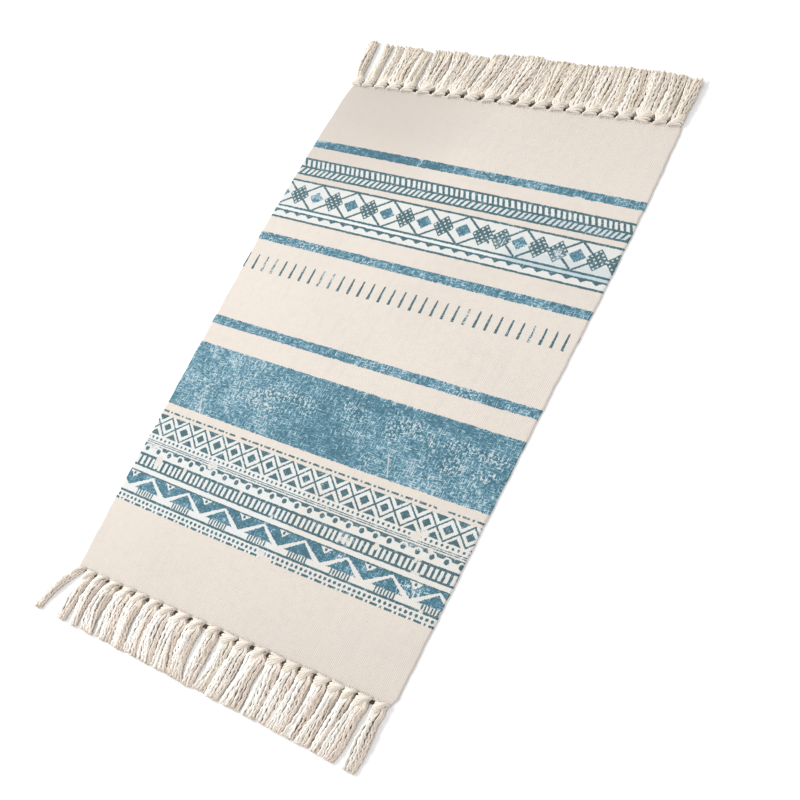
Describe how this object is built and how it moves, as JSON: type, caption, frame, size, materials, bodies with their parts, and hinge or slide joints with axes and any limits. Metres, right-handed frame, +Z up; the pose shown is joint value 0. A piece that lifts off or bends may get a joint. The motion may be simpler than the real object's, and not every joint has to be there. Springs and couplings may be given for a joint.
{
  "type": "floor mat",
  "caption": "Rectangular flat-woven cotton floor mat with a block-printed border pattern and a knotted tassel fringe along both short ends, lying flat.",
  "frame": {"origin": "middle of the woven panel's underside, on the floor", "axes": "+X across the width to the right, +Y along the length to the far fringe, +Z up"},
  "size_m": [0.6481, 1.0642, 0.01],
  "materials": {
    "printed_cotton": "matt flat-woven cream cotton with a worn blue block print",
    "fringe_cotton": "matt undyed twisted cotton yarn"
  },
  "bodies": {
    "root": {"woven_panel": "printed_cotton", "fringe_near": "fringe_cotton", "fringe_far": "fringe_cotton"}
  },
  "joints": []
}
